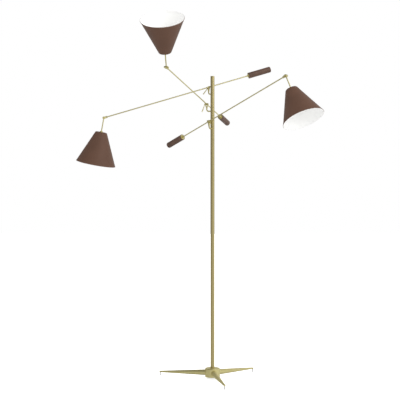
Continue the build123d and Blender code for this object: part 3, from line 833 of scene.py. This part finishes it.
class LAMP_OT_sleeves(Operator):
    """Make the leather sleeves and their stitching"""

    bl_idname = "lamp.sleeves"
    bl_label = "Leather sleeves"

    def execute(self, context):
        settings = context.scene.lamp_sleeves
        tree = stitch_tree()
        for arm in ARMS:
            where = tail_place(arm)
            front, back, reach = extent(f"weight_sleeve_{arm}", where)
            hide = leather(f"leather_{arm}", where, settings.hide, settings.pores)
            mesh = self.sleeve(f"sleeve_{arm}", settings, where, front, back, reach)
            sleeve = add_piece(f"leather_sleeve_{arm}", mesh, [hide])
            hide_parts(f"weight_sleeve_{arm}")
            thread = waxed_thread(f"thread_{arm}", where, settings.thread)
            values = {
                "Spacing": settings.spacing,
                "Stitch Length": settings.stitch,
                "Thread": settings.thread_width,
                "Material": thread,
            }
            seams = self.seams(settings, front, back, reach)
            stitches = grown(f"stitches_{arm}", seams, tree, values, where)
            stitching = add_piece(f"stitching_{arm}", face_outwards(stitches, 80), [thread])
            for piece in (sleeve, stitching):
                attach(piece, f"arm_{arm}")
        return {"FINISHED"}

    @staticmethod
    def sleeve(name, settings, where, front, back, reach):
        """Closed cup of leather, with a groove along its underside where its edges meet."""
        inner, lip = reach - settings.thickness, settings.thickness / 3
        mouth = rounded((inner, front), (reach, front), (reach, back), lip, 4)
        side = between((reach, front), (reach, back), 24)
        side = [point for point in side if point[1] < back - settings.end_round]
        end = rounded((reach, front), (reach, back), (0, back), settings.end_round, 8)
        floor = back - settings.thickness
        cup = [(0, floor), (inner, floor), (inner, front + lip), (inner, front)]
        mesh = lathe(name, of_profile([*cup, *mouth, *side, *end, (0, back)]), where, 144)
        groove_half = 0.05      # radians from the seam to either side of its groove
        for vertex in mesh.vertices:
            local = where.inverted() @ vertex.co
            turn = abs(math.atan2(local.y, -local.x))
            if turn < groove_half and local.xy.length > inner + lip:
                local.xy *= 1 - settings.groove / reach * (1 - turn / groove_half)
                vertex.co = where @ local
        return mesh

    @staticmethod
    def seams(settings, front, back, reach):
        """Edges that the stitches follow: two rows beside the groove and a ring at each end."""
        points, edges = [], []

        def line(path, closed=False):
            start = len(points)
            points.extend(path)
            edges.extend((start + step, start + step + 1) for step in range(len(path) - 1))
            if closed:
                edges.append((start + len(path) - 1, start))

        edge = 2.5 * settings.thread_width
        last = back - settings.end_round - edge
        for side in (-1, 1):
            turn = math.pi + side * 4.4 * settings.thread_width / reach
            x, y = reach * math.cos(turn), reach * math.sin(turn)
            line([(x, y, front + 3 * edge), (x, y, last - edge)])
        turns = [2 * math.pi * step / 72 for step in range(72)]
        for height in (front + 2 * edge, last):
            line([(reach * math.cos(t), reach * math.sin(t), height) for t in turns], True)
        seams = bpy.data.meshes.new("seams")
        seams.from_pydata(points, edges, [])
        return seams


class LAMP_OT_knobs(Operator):
    """Make the cross screws with their knurled knobs"""

    bl_idname = "lamp.knobs"
    bl_label = "Knurled knobs"

    def execute(self, context):
        metals, settings = context.scene.lamp_metals, context.scene.lamp_fittings
        tree = knurl_tree()
        for arm in ARMS:
            where = knuckle_place(arm)
            node = f"knuckle_screw_{arm}"
            low, high, reach = extent(node, where)
            knob = brass(f"knob_brass_{arm}", where, "turned", metals.polished)
            ear = fork_face(arm, where)
            core = reach - settings.knurl_depth
            body = lathe(f"knob_body_{arm}", self.profile(low, high, core, ear), where, 48)
            width = 2 * math.pi * core / settings.knurls * 0.8
            values = {
                "Ribs": settings.knurls,
                "Rows": 2,
                "Ring Radius": reach - width / 2,
                "Rib Width": width,
                "Rib Length": (high - ear) * 0.62,
                "First Row": -(ear + high) / 2,
                "Row Spacing": ear + high,
                "Material": knob,
            }
            empty = bpy.data.meshes.new("empty")
            knurls = face_outwards(grown(f"knurls_{arm}", empty, tree, values, where))
            whole = joined(f"knobs_{arm}", [body, knurls])
            piece = add_piece(f"knurled_knobs_{arm}", whole, [knob])
            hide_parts(node)
            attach(piece, f"fork_{arm}")
        return {"FINISHED"}

    @staticmethod
    def profile(low, high, core, ear):
        """Two domed knobs on one shank."""
        shank, dome = core / 2, core * 0.3
        one = [
            (0, low),
            *rounded((0, low), (core, low), (core, -ear), dome, 5),
            *rounded((core, low), (core, -ear), (shank, -ear), dome / 3, 3),
            (shank, -ear),
        ]
        other = [(radius, -height) for radius, height in reversed(one)]
        return of_profile(one + other)


class LAMP_OT_holders(Operator):
    """Make the ribbed lamp holders"""

    bl_idname = "lamp.holders"
    bl_label = "Lamp holders"

    def execute(self, context):
        settings = context.scene.lamp_fittings
        tree = knurl_tree()
        plastic = moulded("holder_plastic", settings.plastic, 700, 0.42)
        for arm in ARMS:
            where = shade_place(arm)
            node = f"lamp_holder_{arm}"
            low, high, reach = extent(node, where)
            core = reach - settings.holder_rib_depth
            profile = self.profile(settings, low, high, core)
            body = lathe(f"holder_body_{arm}", profile, where, 72)
            width = 2 * math.pi * core / settings.holder_ribs * 0.45
            tall = high - low
            values = {
                "Ribs": settings.holder_ribs,
                "Rows": 1,
                "Ring Radius": reach - width / 2,
                "Rib Width": width,
                "Rib Length": tall * 0.55,
                "First Row": low + tall * 0.42,
                "Row Spacing": 0.0,
                "Material": plastic,
            }
            empty = bpy.data.meshes.new("empty")
            ribs = face_outwards(grown(f"ribs_{arm}", empty, tree, values, where))
            whole = joined(f"holder_{arm}", [body, ribs])
            piece = add_piece(f"ribbed_holder_{arm}", whole, [plastic])
            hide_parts(node)
            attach(piece, f"head_{arm}")
        return {"FINISHED"}

    @staticmethod
    def profile(settings, low, high, core):
        """Closed at the low end, with a socket for the bulb's cap at the high end."""
        lip, socket, floor = settings.holder_round, settings.socket, low + settings.holder_floor
        return of_profile(
            [
                (0, low),
                *rounded((0, low), (core, low), (core, high), lip, 4),
                *rounded((core, low), (core, high), (socket, high), lip, 5),
                *rounded((core, high), (socket, high), (socket, floor), lip / 2, 3),
                (socket, floor),
                (0, floor),
            ]
        )


class LAMP_OT_bulbs(Operator):
    """Make the opal bulbs with their screw caps"""

    bl_idname = "lamp.bulbs"
    bl_label = "Bulbs"

    def execute(self, context):
        settings = context.scene.lamp_fittings
        opal = opal_glass("bulb_opal", settings.opal)
        for arm in ARMS:
            where = shade_place(arm)
            low, high, reach = extent(f"bulb_{arm}", where)
            cap = steel(f"bulb_cap_{arm}", where)
            mesh = lathe(f"bulb_{arm}", self.profile(low, high, reach), where, 72)
            piece = add_piece(f"opal_bulb_{arm}", mesh, [cap, opal])
            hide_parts(f"bulb_{arm}")
            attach(piece, f"head_{arm}")
        return {"FINISHED"}

    @staticmethod
    def profile(low, high, reach):
        """Contact button, screw cap, neck and globe."""
        button_h, pitch, turns, groove, steps = 0.003, 0.0028, 6, 0.0007, 6
        cap, neck = 0.007, 0.011    # radii of the cap and of the neck where the globe begins
        button = [(0, low), (cap / 2, low + 0.0004), (0.0045, low + 0.002)]
        button.append((0.0064, low + button_h))
        thread = []
        for step in range(turns * steps + 1):
            wave = 0.5 - 0.5 * math.cos(2 * math.pi * step / steps)
            height = low + button_h + pitch * step / steps
            thread.append((cap - groove * (1 - wave), height))
        centre = high - reach
        glass = (cap, low + 0.022)
        throat = (neck, centre - math.sqrt(reach**2 - neck**2))
        start = math.degrees(math.asin(neck / reach)) - 90
        globe = arc((0, centre), reach, start, 90, 24)[:-1]
        opal = [glass, *between(glass, throat, 5), *globe, (0, high)]
        return of_profile(button + thread, 0) + of_profile(opal, 1)


class LAMP_OT_stage(Operator):
    """Make the floor, the light and the camera"""

    bl_idname = "lamp.stage"
    bl_label = "Stage"

    def execute(self, context):
        settings = context.scene.lamp_stage
        self.add_camera(context, settings)
        self.add_floor(settings)
        self.add_daylight(context, settings)
        self.add_key(settings)
        context.scene.view_settings.view_transform = "Standard"
        return {"FINISHED"}

    @staticmethod
    def add_camera(context, settings):
        camera = bpy.data.objects.new("camera", bpy.data.cameras.new("camera"))
        camera.data.lens = settings.lens
        camera.data.sensor_width = 36.0
        camera.location = settings.eye
        camera.rotation_euler = (math.radians(90), 0, 0)
        context.scene.collection.objects.link(camera)
        context.scene.camera = camera

    @staticmethod
    def add_floor(settings):
        half = settings.floor_size / 2
        corners = [(-half, -half, 0), (half, -half, 0), (half, half, 0), (-half, half, 0)]
        mesh = bpy.data.meshes.new("floor")
        mesh.from_pydata(corners, [], [(0, 1, 2, 3)])
        finish = Finish("floor_paint")
        cloud = finish.noise(finish.point, 3.0)
        material = finish.surface(
            base_color=finish.blend(tinted(settings.floor, 0.98), tinted(settings.floor, 1), cloud),
            roughness=0.9,
            emission_color=(1.0, 1.0, 1.0, 1.0),
            emission_strength=settings.floor_glow,
        )
        floor = add_piece("floor", mesh, [material])
        floor.visible_glossy = False
        floor.visible_diffuse = False

    @staticmethod
    def add_daylight(context, settings):
        """White behind the lamp, even light on paint, and darker sides for metal to reflect."""
        world = bpy.data.worlds.new("daylight")
        context.scene.world = world
        world.use_nodes = True
        world.node_tree.nodes.clear()
        sky = Network(world.node_tree)
        direction = sky.add("ShaderNodeTexCoord", None, None, "Generated")
        parts = sky.add("ShaderNodeSeparateXYZ", None, {0: direction}).socket.node.outputs
        x, y, z = (Wire(sky, part) for part in parts)
        right, front, back = x.between(-0.5, 0.9), (-y).between(0.0, 1.0), y.between(0.3, 0.9)
        wall = settings.dark_side + 0.55 * right + 0.2 * front + 0.4 * back * z.between(0.04, 0.2)
        above = wall * (1 - 0.65 * z * z)
        below = settings.ground * (1 - 0.6 * (-z).between(0.4, 1.0))
        low = (-z).between(0.04, 0.22)
        mirrored = above * (1 - low) + below * low
        even = settings.daylight * (0.85 + 0.35 * right)
        seen = sky.add("ShaderNodeLightPath", None, None, "Is Camera Ray")
        shiny = sky.add("ShaderNodeLightPath", None, None, "Is Glossy Ray")
        lit = shiny * mirrored + (1 - shiny) * even
        white = {"Color": (1.0, 1.0, 1.0, 1.0), "Strength": seen + (1 - seen) * lit}
        background = sky.add("ShaderNodeBackground", None, white)
        sky.add("ShaderNodeOutputWorld", None, {"Surface": background})

    @staticmethod
    def add_key(settings):
        """Large soft light, high up on the right in front."""
        light = bpy.data.lights.new("key", "AREA")
        light.size = settings.key_size
        light.energy = settings.key
        key = bpy.data.objects.new("key", light)
        key.location = settings.key_place
        aim = Vector((0, 0, 0.9)) - key.location
        key.rotation_euler = aim.to_track_quat("-Z", "Y").to_euler()
        bpy.context.scene.collection.objects.link(key)


class LAMP_PT_sidebar(Panel):
    """Lists the lamp's pieces"""

    bl_label = "Floor lamp"
    bl_idname = "LAMP_PT_sidebar"
    bl_space_type = "VIEW_3D"
    bl_region_type = "UI"
    bl_category = "Floor lamp"

    def draw(self, context):
        for operator in OPERATORS:
            self.layout.operator(operator.bl_idname)
        for name in SETTINGS:
            group = getattr(context.scene, name)
            box = self.layout.box()
            for setting in group.bl_rna.properties.keys():
                if setting not in ("rna_type", "name"):
                    box.prop(group, setting)


# ------------------------------------------------------------------ helpers of the operators
def paint(node, material):
    """Gives a CAD node its material."""
    piece = frame["nodes"][node]
    piece.data.materials.clear()
    piece.data.materials.append(material)


def brass(name, where, grain, roughness, tarnish=None):
    """The lamp's brass, as tarnished as its fittings unless told otherwise."""
    metals = bpy.context.scene.lamp_metals
    worn = metals.fittings_tarnish if tarnish is None else tarnish
    clean, aged = tinted(metals.brass, 1), tinted(metals.aged_brass, 1)
    return metal(name, where, grain, clean, aged, roughness, worn)


def steel(name, where):
    """The lamp's steel, turned round local Z."""
    metals = bpy.context.scene.lamp_metals
    bright, dull = tinted(metals.steel, 1), tinted(metals.steel, 0.6)
    return metal(name, where, "turned", bright, dull, metals.polished)


def paint_brass(node, where, grain, roughness, tarnish=None):
    """Gives a CAD node brass whose grain follows its own axis."""
    paint(node, brass(f"{node}_brass", where, grain, roughness, tarnish))


def screw_centres(node, count):
    """Centres of a node's separate screws, in order round the pole."""
    apart = 0.012       # more than a screw's width, less than the way to the next one
    points = [vertex.co.copy() for vertex in frame["nodes"][node].data.vertices]
    groups = []
    for point in points:
        near = next((g for g in groups if (g[0] - point).xy.length < apart), None)
        if near:
            near.append(point)
        else:
            groups.append([point])
    if len(groups) != count:
        raise RuntimeError(f"{node} has {len(groups)} screws, not {count}")
    centres = []
    for group in groups:
        low = Vector([min(point[axis] for point in group) for axis in range(3)])
        high = Vector([max(point[axis] for point in group) for axis in range(3)])
        centres.append((low + high) / 2)
    return sorted(centres, key=lambda centre: math.atan2(centre.y, centre.x))


def slotted_screw(length):
    """One screw, head down, with a slot across its domed head."""
    head, shank, dome, slot, tip = 0.0028, 0.0015, 0.0012, 0.0004, 0.0004
    profile = [
        (0, 0),
        (head * 0.6, 0.0001),
        (head * 0.9, dome * 0.45),
        (head, dome),
        (shank, dome),
        (shank, length - tip),
        (shank * 0.7, length),
        (0, length),
    ]
    mesh = lathe("screw", of_profile(profile), Matrix.Identity(4), 24)
    for vertex in mesh.vertices:
        if vertex.co.z < dome * 0.5 and abs(vertex.co.y) < slot:
            vertex.co.z += slot
    return mesh


def fork_face(arm, where):
    """Half the width of the fork, measured along its cross screw."""
    low, high, _ = extent(f"arm_fork_{arm}", where)
    return (high - low) / 2


# ------------------------------------------------------------------ registration
SETTINGS = {
    "lamp_metals": MetalSettings,
    "lamp_shades": ShadeSettings,
    "lamp_sleeves": SleeveSettings,
    "lamp_fittings": FittingSettings,
    "lamp_stage": StageSettings,
}
OPERATORS = (
    LAMP_OT_base,
    LAMP_OT_plate_screws,
    LAMP_OT_arms,
    LAMP_OT_shades,
    LAMP_OT_sleeves,
    LAMP_OT_knobs,
    LAMP_OT_holders,
    LAMP_OT_bulbs,
    LAMP_OT_stage,
)


def register():
    for each in (*SETTINGS.values(), *OPERATORS, LAMP_PT_sidebar):
        bpy.utils.register_class(each)
    for name, group in SETTINGS.items():
        setattr(bpy.types.Scene, name, PointerProperty(type=group))


def unregister():
    for name in SETTINGS:
        delattr(bpy.types.Scene, name)
    for each in reversed((*SETTINGS.values(), *OPERATORS, LAMP_PT_sidebar)):
        bpy.utils.unregister_class(each)


def main():
    register()
    bpy.ops.lamp.base()
    bpy.ops.lamp.plate_screws()
    bpy.ops.lamp.arms()
    bpy.ops.lamp.shades()
    bpy.ops.lamp.sleeves()
    bpy.ops.lamp.knobs()
    bpy.ops.lamp.holders()
    bpy.ops.lamp.bulbs()
    bpy.ops.lamp.stage()


if __name__ == "__main__":
    main()
